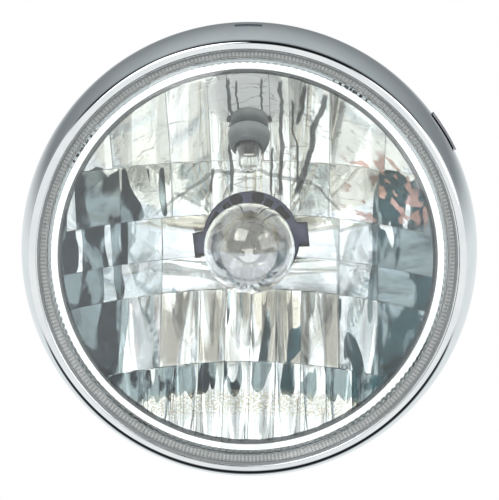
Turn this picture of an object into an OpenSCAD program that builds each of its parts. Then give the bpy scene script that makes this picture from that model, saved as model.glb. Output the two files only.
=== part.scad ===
// Round motorcycle headlight: chromed rim, clear domed lens, faceted reflector,
// double-filament globe bulb in a keyed holder, and a slanted parking lamp.
// Every sub-part is drawn in a lamp frame: +Z towards the road, +Y up, Z = 0 at the rim's rear edge.
// front() turns that frame, so that the lamp looks along -Y and stands with +Z up.

/* [Rim] */
// Outer diameter at the rear edge
rim_d = 177; // [165:1:195]
// From the rear edge to the crest of the front bead
rim_depth = 28; // [24:0.5:34]
// Thickness of the pressed sheet
rim_wall = 0.9; // [0.6:0.1:1.4]
// Outer diameter of the rolled front bead
bead_d = 164; // [160:1:172]
// Width of the bead, from the lens opening to its outer side
bead_w = 4.2; // [3.6:0.2:7]
// Width of the hem turned in at the rear edge
hem_w = 2.8; // [1.5:0.1:4]
// Width of the hook slot at the top
slot_w = 10.5; // [6:0.5:16]
// Length of the hook slot along the lamp
slot_l = 4; // [2:0.5:6]
// Hole for the fixing screw at the bottom
screw_hole_d = 5.4; // [4:0.1:7]
// Place of the side clip, clockwise from the top in front view, in degrees
side_clip_angle = 58; // [30:1:80]

/* [Lens] */
// Glass thickness
lens_t = 3; // [2:0.25:4]
// Diameter of the dome, inside the slanted ribbed band
dome_d = 148; // [140:1:152]
// Height of the dome over its own edge
dome_rise = 10.5; // [5:0.5:18]
// Height of the slanted ribbed band
band_h = 3.6; // [2:0.2:6]

/* [Reflector] */
// Clear opening of the bowl
aperture_d = 143; // [138:1:146]
// Focal length of the bowl
focal = 24; // [23:0.5:32]
// Wall of the moulding
bowl_wall = 2.4; // [1.8:0.1:3.5]
// Bore of the neck that takes the bulb holder
neck_bore_d = 38.8; // [37.6:0.2:42]
// Length of the neck behind the bowl
neck_l = 12; // [9:0.5:16]
// Height of the flutes and pillows over the plain bowl
facet_rise = 1.1; // [0.4:0.1:1.8]

/* [Main bulb] */
// Diameter of the glass globe
globe_d = 35.5; // [30:0.5:36.5]
// Glass thickness of the globe
globe_t = 0.9; // [0.6:0.1:1.5]
// Diameter of the metal base
base_d = 19.8; // [19:0.1:21]
// Length of the metal base
base_l = 15; // [13:0.5:17]
// Turn of the bulb holder in its notches, anticlockwise in front view, in degrees
holder_turn = 6; // [0:1:10]

/* [Parking lamp] */
// Height of the lamp's hole above the optical axis
park_y = 50.5; // [44:0.5:54]
// Diameter of the rubber holder's body
park_body_d = 14.6; // [13:0.2:17]
// Diameter of the collar round the small bulb
park_collar_d = 16.6; // [15:0.2:19]
// Diameter of the small bulb's glass
park_bulb_d = 9.8; // [8.5:0.1:10.3]
// Length of the small bulb's glass in front of the bowl
park_bulb_l = 26; // [20:0.5:30]

/* [Clearance] */
// Radial clearance of the bulb holder in the neck
holder_gap = 0.3; // [0.1:0.05:0.5]
// Clearance between other pieces that fit into each other
fit_gap = 0.1; // [0.05:0.05:0.3]

/* [Hidden] */
$fn = 96;

chrome = [0.80, 0.81, 0.82];
clear_glass = [0.86, 0.92, 0.93, 0.35];
mirror_finish = [0.85, 0.86, 0.86];
black_plastic = [0.10, 0.10, 0.13];
black_rubber = [0.07, 0.07, 0.07];
grey_rubber = [0.36, 0.38, 0.39];
sealant_grey = [0.55, 0.55, 0.53];
brass = [0.78, 0.62, 0.30];
nickel = [0.72, 0.71, 0.67];
tungsten = [0.45, 0.44, 0.42];
spring_steel = [0.42, 0.43, 0.45];

module front() {
    rotate([90, 0, 0]) children();
}

// Turns children from the top to an angle that runs clockwise in front view
module clock(angle) {
    rotate([0, 0, -angle]) children();
}

// Rim
rim_r = rim_d / 2;
bead_r = bead_d / 2;
bead_t = bead_w / 2;
bead_c = bead_r - bead_t;
bead_z = rim_depth - bead_t;
opening_r = bead_r - bead_w;
bead_drop = 1.5;
skirt_steps = 14;
slot_z = 10.5;
screw_z = 9;
side_clip_span = 10.5;
side_clip_t = 0.7;
side_clip_l = 7;

// Outer radius of the skirt: upright at the rear edge, then drawn in towards the bead
function skirt_r(z) = rim_r - (rim_r - bead_r) * pow(z / bead_z, 2.2);

module rim_section() {
    heights = [for (i = [0:skirt_steps]) bead_z * i / skirt_steps];
    polygon(concat(
        [for (i = [0:skirt_steps]) [skirt_r(heights[i]), heights[i]]],
        [for (i = [skirt_steps:-1:0]) [skirt_r(heights[i]) - rim_wall, heights[i]]]
    ));
    translate([rim_r - hem_w, 0]) square([hem_w - rim_wall / 2, rim_wall]);
    intersection() {
        translate([bead_c, bead_z]) difference() {
            circle(r = bead_t);
            circle(r = bead_t - rim_wall);
        }
        translate([opening_r - 1, bead_z]) square([bead_w + 2, bead_t + 1]);
    }
    translate([opening_r, bead_z - bead_drop]) square([rim_wall, bead_drop + 0.001]);
}

module rim() {
    color(chrome) front() difference() {
        rotate_extrude($fn = 180) rim_section();
        translate([0, rim_r, slot_z]) cube([slot_w, 8, slot_l], center = true);
        translate([0, -rim_r + 5, screw_z]) rotate([90, 0, 0]) cylinder(d = screw_hole_d, h = 10);
        clock(side_clip_angle) side_clip_sector(rim_r - hem_w - 1, rim_r + 1, -1, rim_wall + 0.1, 0.6);
    }
}

// A sector of a ring at the top, widened by extra degrees on each side
module side_clip_sector(r0, r1, z0, z1, extra) {
    half = side_clip_span / 2 + extra;
    rotate([0, 0, 90 - half]) rotate_extrude(angle = 2 * half)
        translate([r0, z0]) square([r1 - r0, z1 - z0]);
}

// Spring clip that grips the rear edge of the skirt
module side_clip() {
    outer = rim_r + fit_gap;
    inner = rim_r - rim_wall - 0.35;
    color(spring_steel) front() clock(side_clip_angle) union() {
        side_clip_sector(outer, outer + side_clip_t, 0, side_clip_l, 0);
        side_clip_sector(inner - side_clip_t, outer + side_clip_t, 0, side_clip_t, 0);
        side_clip_sector(inner - side_clip_t, inner, 0, side_clip_l - 2, 0);
    }
}

// Nut plate of the bottom screw, curved to lie against the skirt
plate_w = 16;
plate_l = 12;
plate_t = 2;
screw_core_d = 4.2;

module fixing_plate() {
    out = skirt_r(screw_z + plate_l / 2) - rim_wall - 0.05;
    color(nickel) front() difference() {
        intersection() {
            translate([0, 0, screw_z - plate_l / 2]) difference() {
                cylinder(r = out, h = plate_l, $fn = 180);
                translate([0, 0, -1]) cylinder(r = out - plate_t, h = plate_l + 2, $fn = 180);
            }
            translate([-plate_w / 2, -out - 1, 0]) cube([plate_w, 20, 30]);
        }
        translate([0, -out + 6, screw_z]) rotate([90, 0, 0]) cylinder(d = screw_core_d, h = 12);
    }
}

// Lens
lens_r = bead_r - rim_wall - 0.5;
flange_top = bead_z - bead_drop - 0.4;
flange_z = flange_top - lens_t;
dome_r = dome_d / 2;
dome_edge_z = flange_top + band_h;
sphere_r = (dome_r * dome_r + dome_rise * dome_rise) / (2 * dome_rise);
sphere_z = dome_edge_z + dome_rise - sphere_r;
foot_r0 = 75.8;
foot_r1 = 78.1;
foot_z = flange_z - 2.8;
band_run = opening_r - dome_r;

function sphere_height(radius, r) = sphere_z + sqrt(radius * radius - r * r);

// Everything under the outer surface: the dome, cut off by the slanted band and the edge
module lens_outside() {
    intersection() {
        translate([0, sphere_z]) circle(r = sphere_r, $fn = 720);
        polygon([
            [0, foot_z],
            [foot_r1, foot_z],
            [foot_r1, flange_z],
            [lens_r, flange_z],
            [lens_r, flange_top],
            [opening_r, flange_top],
            [dome_r - 40 * band_run, dome_edge_z + 40 * band_h],
            [0, dome_edge_z + 40 * band_h]
        ]);
    }
}

// Everything under the inner surface, inside the foot that sits in the channel
module lens_inside() {
    inner_edge_z = sphere_height(sphere_r - lens_t, dome_r);
    intersection() {
        translate([0, sphere_z]) circle(r = sphere_r - lens_t, $fn = 720);
        polygon([
            [-1, foot_z - 1],
            [foot_r0, foot_z - 1],
            [foot_r0, flange_z + 0.5],
            [dome_r, inner_edge_z],
            [dome_r - 10 * (foot_r0 - dome_r), inner_edge_z + 10 * (inner_edge_z - flange_z - 0.5)],
            [-1, inner_edge_z + 10 * (inner_edge_z - flange_z - 0.5)]
        ]);
    }
}

module lens() {
    color(clear_glass) front() rotate_extrude($fn = 180) difference() {
        lens_outside();
        lens_inside();
    }
}

// Soft ring between the lens edge and the hollow bead
module rim_gasket() {
    ring_t = bead_t - rim_wall - 2 * fit_gap;
    color(black_rubber) front() rotate_extrude($fn = 180) {
        intersection() {
            translate([bead_c, bead_z]) circle(r = ring_t);
            translate([bead_c - 5, bead_z]) square([10, 10]);
        }
        translate([bead_c - 0.75 * ring_t, flange_top + 0.05])
            square([1.5 * ring_t, bead_z - flange_top]);
    }
}

// Reflector
aperture_r = aperture_d / 2;
lip_z = flange_z + 1.6;
vertex_z = lip_z - aperture_r * aperture_r / (4 * focal);
lip_w = 2.4;
channel_r1 = lens_r - 1.6;
channel_z = foot_z - 1;
flange_back = channel_z - 1.8;
neck_bore_r = neck_bore_d / 2;
neck_r = neck_bore_r + 6.2;
hole_z = vertex_z + neck_bore_r * neck_bore_r / (4 * focal);
neck_back = hole_z - neck_l;
lug_r = neck_bore_r + 3.2;
lug_w = 8;
notch_w = 10;
notch_floor = hole_z - 4.6;

function bowl_z(r) = vertex_z + r * r / (4 * focal);

// Point of the back surface, one wall away from the bowl along its normal
function back_point(r) =
    let(tilt = atan(r / (2 * focal)))
    [r + bowl_wall * sin(tilt), bowl_z(r) - bowl_wall * cos(tilt)];

// Facet borders: heights of the rows, and for each row the distances of its column borders from the middle
row_marks = [-78, -46, -20, -7, 9.8, 32.5, 78];
column_marks = [
    [0, 10, 20, 30, 40, 50, 60, 70, 78],
    [0, 10, 20, 35, 50, 78],
    [-35, 35, 50, 78],
    [-35, 35, 50, 78],
    [-8, 8, 15.5, 31, 50, 78],
    [-8, 8, 15.5, 31, 52, 78]
];
// Share of facet_rise that the facets of each row stand up
row_rise = [1, 1, 0.7, 0.7, 0.6, 0.5];

function place(marks, v) = len([for (i = [1:len(marks) - 2]) if (v >= marks[i]) 1]);
function across(lo, hi, v) = (2 * v - lo - hi) / (hi - lo);

// Height of the facets over the plain bowl: pillows that fall to nothing at their borders
function facet_height(x, y) =
    let(
        row = place(row_marks, y),
        columns = column_marks[row],
        col = place(columns, abs(x)),
        u = across(columns[col], columns[col + 1], abs(x)),
        v = across(row_marks[row], row_marks[row + 1], y)
    )
    facet_rise * row_rise[row] * (1 - u * u) * (1 - pow(v, 4));

// All marks with even steps between them
function fill(marks, step) = concat(
    [for (i = [0:len(marks) - 2])
        let(parts = ceil((marks[i + 1] - marks[i]) / step))
        for (k = [0:parts - 1]) marks[i] + (marks[i + 1] - marks[i]) * k / parts],
    [marks[len(marks) - 1]]
);

half_lines = fill([0, 8, 10, 15.5, 20, 31, 35, 40, 50, 52, 60, 70, 78], 2.6);
x_lines = concat([for (i = [len(half_lines) - 1:-1:1]) -half_lines[i]], half_lines);
y_lines = fill(row_marks, 4.8);
nx = len(x_lines);
ny = len(y_lines);

// Solid that fills the bowl, down to its facets and up to a far point in front
module bowl_filling() {
    grid = [for (j = [0:ny - 1]) for (i = [0:nx - 1])
        let(x = x_lines[i], y = y_lines[j])
        [x, y, bowl_z(sqrt(x * x + y * y)) + facet_height(x, y)]];
    far = nx * ny;
    floor_faces = [for (j = [0:ny - 2]) for (i = [0:nx - 2])
        let(a = j * nx + i)
        each [[a, a + 1, a + nx + 1], [a, a + nx + 1, a + nx]]];
    wall_faces = concat(
        [for (i = [0:nx - 2]) [i + 1, i, far]],
        [for (i = [0:nx - 2]) [(ny - 1) * nx + i, (ny - 1) * nx + i + 1, far]],
        [for (j = [0:ny - 2]) [j * nx, (j + 1) * nx, far]],
        [for (j = [0:ny - 2]) [(j + 1) * nx + nx - 1, j * nx + nx - 1, far]]
    );
    polyhedron(concat(grid, [[0, 0, 400]]), concat(floor_faces, wall_faces), convexity = 8);
}

module bowl_body() {
    rotate_extrude($fn = 180) polygon(concat(
        [[0, neck_back], [neck_r, neck_back]],
        [for (r = [neck_r - 1:5:neck_r + 34]) back_point(r)],
        [
            [sqrt(4 * focal * (flange_back - vertex_z)) + bowl_wall, flange_back],
            [lens_r, flange_back],
            [lens_r, flange_z - 0.1],
            [channel_r1, flange_z - 0.1],
            [channel_r1, channel_z],
            [aperture_r + lip_w, channel_z],
            [aperture_r + lip_w, lip_z],
            [0, lip_z]
        ]
    ));
    park_frame() translate([0, 0, -boss_h]) cylinder(d = park_boss_d, h = boss_h + 2);
}

module reflector() {
    color(mirror_finish) front() difference() {
        bowl_body();
        intersection() {
            translate([0, 0, vertex_z - 20]) cylinder(r = aperture_r, h = 80, $fn = 180);
            bowl_filling();
        }
        translate([0, 0, neck_back - 1]) cylinder(r = neck_bore_r, h = neck_l + 12);
        rotate([0, 0, holder_turn]) translate([-lug_r - 0.4, -notch_w / 2, notch_floor])
            cube([2 * (lug_r + 0.4), notch_w, 30]);
        park_frame() {
            translate([0, 0, -20]) cylinder(d = park_bore_d, h = 30);
            cylinder(d = park_collar_d + 1, h = 12);
        }
    }
}

// Adhesive between the lens foot and the channel
module lens_sealant() {
    color(sealant_grey) front() rotate_extrude($fn = 180) difference() {
        translate([aperture_r + lip_w + 0.05, channel_z + 0.02])
            square([channel_r1 - aperture_r - lip_w - 0.1, 2.6]);
        translate([foot_r0 - 0.05, foot_z - 0.05]) square([foot_r1 - foot_r0 + 0.1, 10]);
    }
}

// Spring strips between the rear hem and the back of the reflector's flange
clip_angles = [32, 122, 212, 302];
clip_w = 9;
clip_t = 0.6;

module retaining_clip() {
    hem_r = rim_r - rim_wall - 0.2;
    rise = flange_back - clip_t - rim_wall - 0.1;
    translate([0, 0, rim_wall + 0.05]) rotate([90, 0, 90]) translate([0, 0, -clip_w / 2])
        linear_extrude(clip_w) polygon([
            [hem_r - 0.6, 0],
            [hem_r - 0.6, clip_t],
            [hem_r - 4, clip_t],
            [lens_r - 1.6, rise + clip_t],
            [lens_r - 5.2, rise + clip_t],
            [lens_r - 5.2, rise],
            [lens_r - 2.3, rise],
            [hem_r - 4.8, 0]
        ]);
}

module retaining_clips() {
    color(spring_steel) front() for (angle = clip_angles) clock(angle) retaining_clip();
}

// Bulb holder
holder_r = neck_bore_r - holder_gap;
face_z = hole_z - 1.6;
holder_l = 20;
holder_back = face_z - holder_l;
shell_t = 0.5;
base_r = base_d / 2;
shell_r = base_r + fit_gap + shell_t;
sleeve_l = 10;
web_l = 9;
chamber_r = 15.5;
back_wall = 1.8;
lug_t = 2.8;
blade_x = 14;

module holder_frame() {
    front() rotate([0, 0, holder_turn]) children();
}

module bulb_holder() {
    color(black_plastic) holder_frame() difference() {
        union() {
            translate([0, 0, holder_back]) cylinder(r = holder_r, h = holder_l);
            intersection() {
                translate([0, 0, notch_floor + 0.05]) cylinder(r = lug_r, h = lug_t);
                translate([-40, -lug_w / 2, -100]) cube([80, lug_w, 120]);
            }
        }
        translate([0, 0, holder_back - 1]) cylinder(r = shell_r + fit_gap, h = holder_l + 2);
        translate([0, 0, holder_back + back_wall]) cylinder(r = chamber_r, h = holder_l - web_l - back_wall);
        holder_pockets();
        for (angle = [0, 90, 180]) rotate([0, 0, angle]) translate([blade_x, 0, holder_back])
            cube([1.2, 6.8, 8], center = true);
    }
}

// Recesses in the face that shows round the globe
module holder_pockets() {
    for (side = [0, 180]) rotate([0, 0, side]) {
        for (angle = [-15, 15]) clock(angle) translate([0, 16.6, face_z - 3]) cylinder(d = 5.2, h = 5);
        for (angle = [-32, 32]) clock(angle) translate([0, 15, face_z])
            cube([3.4, 4.6, 5], center = true);
        for (angle = [-57, 57]) clock(angle) translate([0, 16, face_z])
            cube([6.4, 3.4, 6], center = true);
    }
    translate([0, 0, face_z - 0.8]) difference() {
        cylinder(r = holder_r - 1.2, h = 2);
        translate([0, 0, -1]) cylinder(r = holder_r - 5.6, h = 4);
    }
}

// Metal sleeve that the bulb's base slides into
module socket_shell() {
    color(nickel) holder_frame() difference() {
        union() {
            translate([0, 0, face_z - sleeve_l]) cylinder(r = shell_r, h = sleeve_l + 0.65);
            translate([0, 0, face_z + 0.05]) cylinder(r = shell_r + 1.4, h = 0.6);
        }
        translate([0, 0, holder_back]) cylinder(r = base_r + fit_gap, h = holder_l + 4);
        for (angle = [0, 180]) rotate([0, 0, angle]) translate([base_r - 2, -1.1, pin_z - 1.4])
            cube([5, 2.2, 20]);
    }
}

// Main bulb
globe_r = globe_d / 2;
globe_z = hole_z + 23.7;
base_front = face_z + 4.2;
base_rear = base_front - base_l;
base_t = 0.4;
pin_z = base_rear + 6;
pin_l = 0.45;
neck_glass_r = base_r - base_t - 0.35;
collar_z = face_z + 0.75;

module bulb_base() {
    color(nickel) holder_frame() union() {
        difference() {
            union() {
                translate([0, 0, base_rear]) cylinder(r = base_r, h = base_l);
                translate([0, 0, collar_z]) cylinder(r = base_r + 2.4, h = 0.7);
            }
            translate([0, 0, base_rear - 1]) cylinder(r = base_r - base_t, h = base_l + 2);
        }
        for (side = [0, 180]) rotate([0, 0, side]) translate([base_r - 0.2, 0, pin_z])
            rotate([0, 90, 0]) cylinder(d = 1.9, h = pin_l + 0.2, $fn = 32);
    }
}

module base_insulator() {
    color(black_plastic) holder_frame() difference() {
        translate([0, 0, base_rear]) cylinder(r = base_r - base_t - 0.05, h = 2.2);
        for (x = [-4.2, 4.2]) translate([x, 0, base_rear - 1]) cylinder(r = 1.3, h = 4, $fn = 32);
    }
}

module base_contacts() {
    color(nickel) holder_frame() for (x = [-4.2, 4.2]) translate([x, 0, base_rear]) intersection() {
        translate([0, 0, 1.2]) sphere(r = 2.4, $fn = 48);
        translate([0, 0, -1]) cylinder(r = 1.25, h = 3, $fn = 32);
    }
}

// Globe, drawn in to a neck inside the base
module bulb_glass() {
    neck_z = globe_z - sqrt(globe_r * globe_r - neck_glass_r * neck_glass_r);
    inner_r = globe_r - globe_t;
    inner_neck = neck_glass_r - globe_t;
    color(clear_glass) holder_frame() difference() {
        union() {
            translate([0, 0, globe_z]) sphere(r = globe_r, $fn = 180);
            translate([0, 0, base_rear + 4]) cylinder(r = neck_glass_r, h = neck_z - base_rear - 3);
        }
        translate([0, 0, globe_z]) sphere(r = inner_r, $fn = 180);
        translate([0, 0, base_rear + 3]) cylinder(r = inner_neck, h = neck_z - base_rear - 2);
    }
}

stem_r = 4.2;
stem_top = globe_z - 11;

// Glass stem that carries the wires
module bulb_stem() {
    flare_r = neck_glass_r - globe_t - 0.1;
    color(clear_glass) holder_frame() difference() {
        union() {
            translate([0, 0, base_rear + 4]) cylinder(r1 = flare_r, r2 = stem_r, h = 5);
            translate([0, 0, base_rear + 8]) cylinder(r = stem_r, h = stem_top - base_rear - 8);
        }
        for (x = wire_x) translate([x, 0, base_rear]) cylinder(r = wire_r + 0.1, h = 60, $fn = 32);
        translate([0, -shield_wire_y, base_rear]) cylinder(r = wire_r + 0.1, h = 60, $fn = 32);
    }
}

wire_x = [-2.4, 0, 2.4];
wire_r = 0.35;
shield_r = 4.4;
shield_t = 0.4;
shield_l = 8.4;
shield_wire_y = shield_r - shield_t - wire_r - 0.05;
filament_r = 0.75;
low_z = globe_z + 3.4;
high_z = globe_z - 2.6;

// Wires that rise from the stem: three for the coils, and one that carries the shield
module lead_wires() {
    tops = [low_z, high_z - filament_r - wire_r, low_z];
    color(nickel) holder_frame() union() {
        for (i = [0:2]) translate([wire_x[i], 0, base_rear + 2.3])
            cylinder(r = wire_r, h = tops[i] - base_rear - 2.3, $fn = 32);
        translate([0, -shield_wire_y, base_rear + 4.6])
            cylinder(r = wire_r, h = low_z - 2 - base_rear - 4.6, $fn = 32);
    }
}

module low_filament() {
    color(tungsten) holder_frame() translate([-wire_x[2] + wire_r + 0.1, 0, low_z])
        rotate([0, 90, 0]) cylinder(r = filament_r, h = 2 * (wire_x[2] - wire_r - 0.1), $fn = 32);
}

module high_filament() {
    color(tungsten) holder_frame() translate([-wire_x[2] + wire_r + 0.1, 0, high_z])
        rotate([0, 90, 0]) cylinder(r = filament_r, h = 2 * (wire_x[2] - wire_r - 0.1), $fn = 32);
}

// Bright trough under the front coil, with a raised tongue in front
module dip_shield() {
    color(nickel) holder_frame() translate([0, 0, low_z - 4.4]) difference() {
        union() {
            cylinder(r = shield_r, h = shield_l);
            translate([-1.6, -1.6, shield_l - shield_t]) cube([3.2, 2.6, shield_t]);
        }
        translate([0, 0, -1]) cylinder(r = shield_r - shield_t, h = shield_l + 1 - shield_t);
        translate([-6, -1.6, -1]) cube([12, 12, shield_l + 1 - shield_t]);
        difference() {
            translate([-6, -1.6, 0]) cube([12, 12, shield_l + 1]);
            translate([-1.6, -1.7, 0]) cube([3.2, 2.6, shield_l + 2]);
        }
    }
}

// Contact side of the holder
plate_z = holder_back + 4.6;
spring_r = 12.4;

module contact_plate() {
    color(black_plastic) holder_frame() difference() {
        translate([0, 0, plate_z]) cylinder(r = chamber_r - 0.4, h = 2.4);
        for (x = [-4.2, 4.2]) translate([x, 0, plate_z - 1]) cylinder(r = 1.6, h = 5, $fn = 32);
    }
}

// Coil spring, as a stack of closed turns
module contact_spring() {
    turn = 0.6;
    low = holder_back + back_wall + turn / 2 + 0.05;
    count = 3;
    step = (plate_z - turn / 2 - 0.05 - low) / (count - 1);
    color(spring_steel) holder_frame() for (i = [0:count - 1])
        translate([0, 0, low + i * step]) rotate_extrude()
            translate([spring_r, 0]) circle(r = turn / 2, $fn = 24);
}

module contact_studs() {
    top = base_rear - 1.35;
    color(brass) holder_frame() for (x = [-4.2, 4.2]) translate([x, 0, plate_z - 1.2]) union() {
        cylinder(r = 1.5, h = top - plate_z + 1.2, $fn = 32);
        cylinder(r = 2.2, h = 1, $fn = 32);
    }
}

// Three flat blades through the back wall
module terminals() {
    color(brass) holder_frame() for (angle = [0, 90, 180]) rotate([0, 0, angle])
        translate([blade_x, 0, holder_back - 8]) union() {
            translate([-0.4, -3.15, 0]) cube([0.8, 6.3, 8 + back_wall + 1]);
            translate([-0.8, -3.15, 8 + back_wall + 0.1]) cube([1.6, 6.3, 0.9]);
        }
}

// Rubber boot from the neck to the back of the holder
module dust_boot() {
    grip = neck_r + fit_gap;
    sleeve = holder_r + fit_gap;
    rear = holder_back - 0.1;
    wall = 1.6;
    color(black_rubber) front() rotate_extrude() polygon([
        [grip, hole_z - 5],
        [grip + wall, hole_z - 5],
        [grip + wall + 0.9, hole_z - 6.2],
        [grip + wall, hole_z - 7.4],
        [grip + wall, neck_back - wall],
        [sleeve + 3.4, neck_back - wall - 0.8],
        [sleeve + wall, neck_back - wall - 2.6],
        [sleeve + wall, rear - wall],
        [sleeve - 3, rear - wall],
        [sleeve - 3, rear],
        [sleeve, rear],
        [sleeve, neck_back - 0.1],
        [grip, neck_back - 0.1]
    ]);
}

// Parking lamp, in a frame whose Z runs out of the bowl along its normal
park_tilt = atan(park_y / (2 * focal));
park_bore_d = 13.4;
park_boss_d = 20;
boss_h = 3.4;
park_r = park_body_d / 2;
park_collar_r = park_collar_d / 2;
park_glass_r = park_bulb_d / 2;

module park_frame() {
    translate([0, park_y, bowl_z(park_y)]) rotate([park_tilt, 0, 0]) children();
}

module parking_holder() {
    color(grey_rubber) front() park_frame() difference() {
        rotate_extrude() polygon([
            [0, -12],
            [6, -12],
            [6.2, -6.4],
            [8.8, -6.2],
            [8.4, -boss_h - 0.05],
            [park_bore_d / 2 - fit_gap, -boss_h - 0.05],
            [park_bore_d / 2 - fit_gap, 0.05],
            [park_r, 0.05],
            [park_r, 5.6],
            [park_r - 0.8, 6.2],
            [park_collar_r - 0.3, 7],
            [park_collar_r, 7.8],
            [park_collar_r - 0.4, 10.4],
            [park_glass_r + 1.9, 13.8],
            [park_glass_r + 0.9, 14.2],
            [0, 14.2]
        ]);
        translate([0, 0, 4.8]) cylinder(r = park_glass_r + fit_gap, h = 20);
        translate([-4.6, -1.6, -4.2]) cube([9.2, 3.2, 10]);
        for (x = [-3, 3]) translate([x, 0, -9]) cube([1, 4.3, 10], center = true);
    }
}

// Capless bulb: rounded glass with a flat pinched foot
module parking_bulb() {
    straight = park_bulb_l - park_glass_r - 0.9;
    color(clear_glass) front() park_frame() union() {
        difference() {
            union() {
                translate([0, 0, 5]) cylinder(r = park_glass_r, h = straight - 5);
                translate([0, 0, straight]) sphere(r = park_glass_r);
                translate([0, 0, park_bulb_l - 1.4]) cylinder(r1 = 1.3, r2 = 0.5, h = 1.4, $fn = 32);
            }
            translate([0, 0, 6.6]) cylinder(r = park_glass_r - 0.5, h = straight - 6.6);
            translate([0, 0, straight]) sphere(r = park_glass_r - 0.5);
        }
        translate([-4.4, -1.4, -4]) cube([8.8, 2.8, 9.6]);
    }
}

module parking_filament() {
    coil_s = 17.5;
    color(tungsten) front() park_frame() {
        for (x = [-2, 2]) translate([x, 0, 6.65]) cylinder(r = 0.25, h = coil_s - 6.65, $fn = 32);
        translate([-1.7, 0, coil_s - 0.35]) rotate([0, 90, 0]) cylinder(r = 0.35, h = 3.4, $fn = 32);
    }
}

module parking_terminals() {
    color(brass) front() park_frame() for (x = [-3, 3])
        translate([x - 0.4, -2, -17]) cube([0.8, 4, 12.4]);
}

rim();
rim_gasket();
lens();
lens_sealant();
reflector();
retaining_clips();
side_clip();
fixing_plate();
bulb_holder();
socket_shell();
contact_plate();
contact_spring();
contact_studs();
terminals();
dust_boot();
bulb_base();
base_insulator();
base_contacts();
bulb_glass();
bulb_stem();
lead_wires();
dip_shield();
low_filament();
high_filament();
parking_holder();
parking_bulb();
parking_filament();
parking_terminals();
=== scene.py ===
"""Round motorcycle headlight: chromed rim, domed lens, faceted mirror bowl, globe bulb and parking lamp.

Lengths in the shape functions are millimetres; to_frame turns them into metres of the CAD frame.
The lamp looks along -Y, +Z is up, and Y = 0 is the plane of the rim's rear edge.
"""

import math

import bmesh
import bpy
import numpy as np
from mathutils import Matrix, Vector


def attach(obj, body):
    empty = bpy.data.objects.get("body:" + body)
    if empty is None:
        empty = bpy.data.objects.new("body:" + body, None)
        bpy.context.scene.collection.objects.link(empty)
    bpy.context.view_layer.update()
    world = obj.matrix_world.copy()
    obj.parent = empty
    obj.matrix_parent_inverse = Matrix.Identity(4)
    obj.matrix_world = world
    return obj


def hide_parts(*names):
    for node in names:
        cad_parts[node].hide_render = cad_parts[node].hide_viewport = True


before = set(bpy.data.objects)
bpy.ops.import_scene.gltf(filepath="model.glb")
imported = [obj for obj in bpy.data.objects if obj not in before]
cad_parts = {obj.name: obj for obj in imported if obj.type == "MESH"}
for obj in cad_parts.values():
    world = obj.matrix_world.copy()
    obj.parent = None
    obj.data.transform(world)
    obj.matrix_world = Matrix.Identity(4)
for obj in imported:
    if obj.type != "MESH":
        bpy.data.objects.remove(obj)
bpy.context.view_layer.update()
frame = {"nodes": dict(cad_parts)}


# Rim
# Pressed steel ring, bright chromed: a tapered skirt, a bead rolled round the lens in front, with a round
# shoulder and a nearly flat crown, and a hem turned in at the rear. The lamp hangs from the hook slot
# punched at its top and is held by a screw at the bottom.

MM = 0.001
RIM_R = 88.5
BEAD_R = 83.7
BEAD_TUBE = 1.95
BEAD_Z = 25.9
BEAD_DROP = 1.5
OPENING_R = BEAD_R - 2 * BEAD_TUBE
SHOULDER_R, SHOULDER_DROP = 2.0, 0.15
NOSE_R = 0.55
SHEET = 0.9
HEM = 2.8
REAR_ROUND = 0.5
TAPER_POWER = 2.2
SLOT_W, SLOT_L, SLOT_Z = 10.5, 4.0, 10.5
SCREW_HOLE_R, SCREW_Z = 2.7, 9.0
CLIP_ANGLE, CLIP_HALF_W, CLIP_CUT_R = 58.0, 9.0, 84.6
# Distances from the axis between which a cutter passes right through the skirt
THROUGH = (80, 92)
# Points that are this close, in metres, become one
WELD = 1e-7


def to_frame(across, up, forward):
    """Points given across, up and forward in mm, as metres: forward runs along -Y and up along +Z."""
    across, up, forward = np.broadcast_arrays(across, up, forward)
    return np.stack([across, -forward, up], axis=-1) * MM


def grid_faces(rows, columns, wrap_rows=False, wrap_columns=False):
    """Quads between neighbouring points of a grid, row by row; either direction can be closed."""
    i = np.arange(rows if wrap_rows else rows - 1)[:, None]
    j = np.arange(columns if wrap_columns else columns - 1)[None, :]
    i_next, j_next = (i + 1) % rows, (j + 1) % columns
    corners = (i * columns + j, i * columns + j_next, i_next * columns + j_next, i_next * columns + j)
    return np.stack(np.broadcast_arrays(*corners), axis=-1).reshape(-1, 4)


def smooth(piece, crease):
    """Smooth shading, with the edges that bend more than the crease angle kept sharp."""
    piece.data.polygons.foreach_set("use_smooth", np.ones(len(piece.data.polygons), bool))
    piece.data.set_sharp_from_angle(angle=math.radians(crease))


def make_piece(name, points, *faces, crease=35.0):
    """Mesh object from a grid of points and arrays of faces, with its poles and seams welded."""
    mesh = bpy.data.meshes.new(name)
    mesh.from_pydata(points.reshape(-1, 3).tolist(), [], [f for part in faces for f in part.tolist()])
    work = bmesh.new()
    work.from_mesh(mesh)
    bmesh.ops.remove_doubles(work, verts=work.verts, dist=WELD)
    bmesh.ops.dissolve_degenerate(work, edges=work.edges, dist=WELD)
    work.to_mesh(mesh)
    work.free()
    piece = bpy.data.objects.new(name, mesh)
    bpy.context.scene.collection.objects.link(piece)
    smooth(piece, crease)
    return piece


def lathe(profile, steps):
    """Grid of a profile (radius, forward) turned about the lamp's axis, one row for each angle."""
    angle = np.linspace(0, 2 * np.pi, steps, endpoint=False)[:, None]
    radius, forward = np.asarray(profile, float).T
    return to_frame(radius * np.sin(angle), radius * np.cos(angle), forward)


def arc(centre_r, centre_z, radius, start, end, count):
    """Profile points on a circle from a start to an end angle, in degrees from the radial direction."""
    turn = np.radians(np.linspace(start, end, count))
    return np.stack([centre_r + radius * np.cos(turn), centre_z + radius * np.sin(turn)], axis=-1)


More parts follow.
